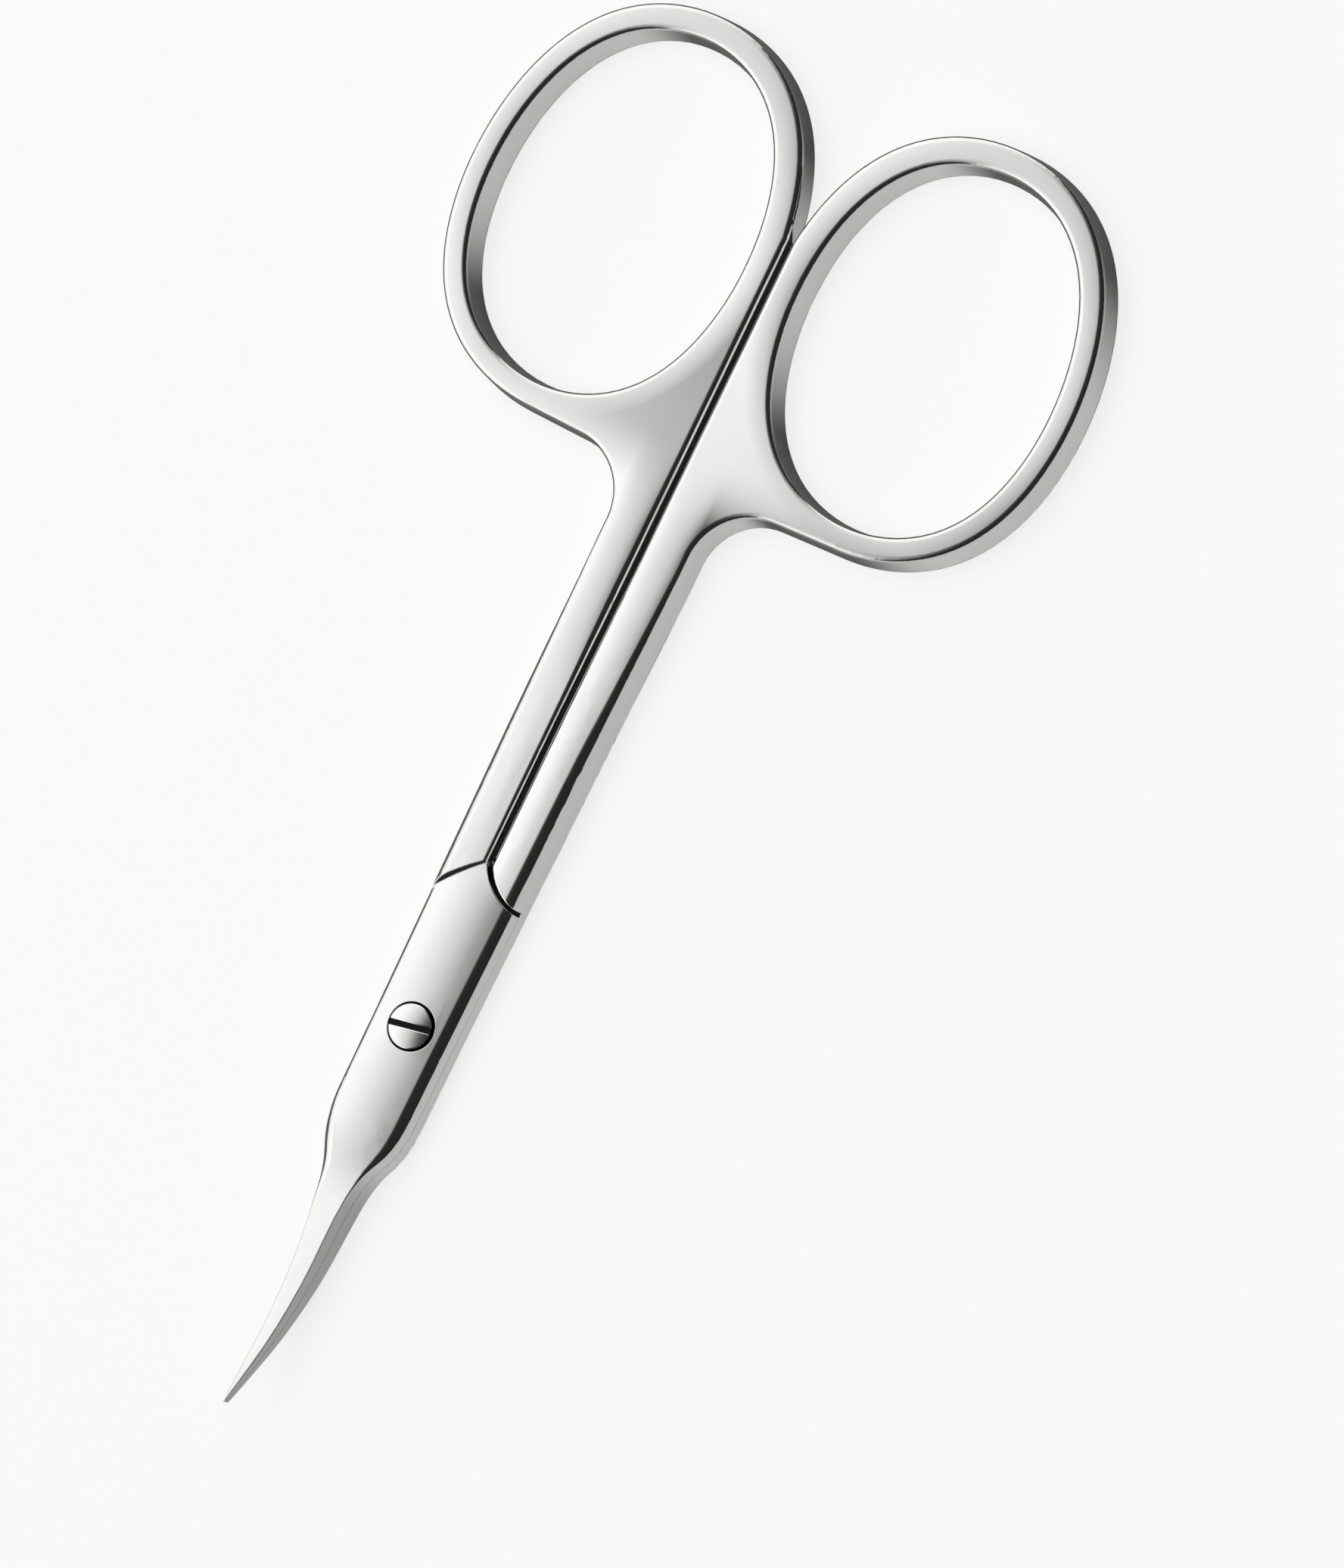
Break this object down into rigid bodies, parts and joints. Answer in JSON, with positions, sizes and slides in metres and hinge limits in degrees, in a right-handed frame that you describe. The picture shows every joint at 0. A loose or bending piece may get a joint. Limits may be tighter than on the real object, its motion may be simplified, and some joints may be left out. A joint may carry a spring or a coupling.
{
  "type": "cuticle scissors",
  "caption": "Slim polished steel cuticle scissors with curved, pointed blades, a screwed lap joint and oval finger rings.",
  "frame": {"origin": "middle of the closed scissors' width and length, on the plane of their flat back", "axes": "+Y along the scissors from the tip to the finger rings, +Z out of the front, where the screw head is, +X to the right seen from the front with the rings up"},
  "size_m": [0.0448, 0.093, 0.0046],
  "materials": {
    "front_half_steel": "mirror-polished stainless steel",
    "back_half_steel": "mirror-polished stainless steel",
    "screw_steel": "mirror-polished stainless steel"
  },
  "bodies": {
    "back": {"back_half": "back_half_steel", "pivot_screw": "screw_steel"},
    "front": {"front_half": "front_half_steel"}
  },
  "joints": [
    {"name": "pivot", "type": "hinge", "parent": "back", "child": "front", "pos_m": [0, -0.02013, 0.00155], "axis": [0, 0, 1], "range_deg": [0, 60]}
  ]
}
